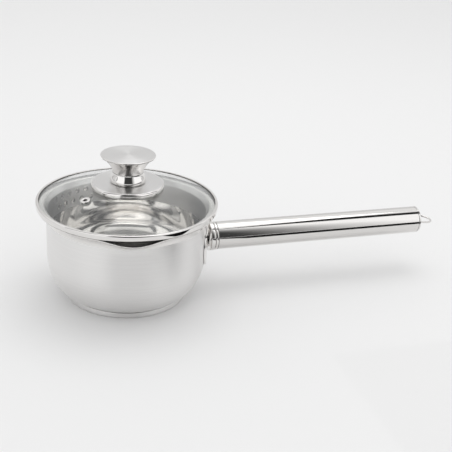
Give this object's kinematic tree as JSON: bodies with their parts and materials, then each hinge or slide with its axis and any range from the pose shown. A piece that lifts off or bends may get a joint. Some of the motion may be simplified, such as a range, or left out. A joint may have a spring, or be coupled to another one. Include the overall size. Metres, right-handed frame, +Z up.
{
  "type": "saucepan",
  "caption": "Stainless steel saucepan with pouring lips, tubular handle and a domed glass lid whose pierced steel skirt strains as it pours.",
  "frame": {"origin": "on the pan's axis, at the underside of its base", "axes": "+Z up along the pan's axis, +X along the handle, the pouring lips towards -Y and +Y"},
  "size_m": [0.4272, 0.1832, 0.1471],
  "materials": {
    "brushed_steel": "satin-brushed 18/10 stainless steel",
    "polished_steel": "mirror-polished 18/10 stainless steel, not plated",
    "core_aluminium": "mill finish, inside the base",
    "tempered_glass": "clear tempered soda-lime glass",
    "silicone": "translucent grey moulded silicone"
  },
  "bodies": {
    "pan": {"vessel": "brushed_steel", "base_core": "core_aluminium", "base_cap": "brushed_steel", "handle_flange": "polished_steel", "handle_collar": "polished_steel", "handle_spigot": "polished_steel", "handle_tube": "brushed_steel", "handle_end_cap": "brushed_steel", "hanging_loop": "polished_steel"},
    "lid_spindle": {"knob_screw": "polished_steel"},
    "lid": {"lid_ring": "polished_steel", "lid_glass": "tempered_glass", "vent_eyelet": "polished_steel", "vent_washer": "silicone", "knob_plate": "brushed_steel", "knob_collar": "polished_steel", "knob_neck": "polished_steel", "knob_top": "brushed_steel", "knob_boss": "polished_steel", "knob_gasket_upper": "silicone", "knob_gasket_lower": "silicone", "knob_washer": "polished_steel"}
  },
  "joints": [
    {"name": "lid_lift", "type": "slide", "parent": "pan", "child": "lid_spindle", "axis": [0, 0, 1], "range_m": [0, 0.12]},
    {"name": "lid_turn", "type": "hinge", "parent": "lid_spindle", "child": "lid", "pos_m": [0, 0, 0.1], "axis": [0, 0, 1], "continuous": true}
  ]
}
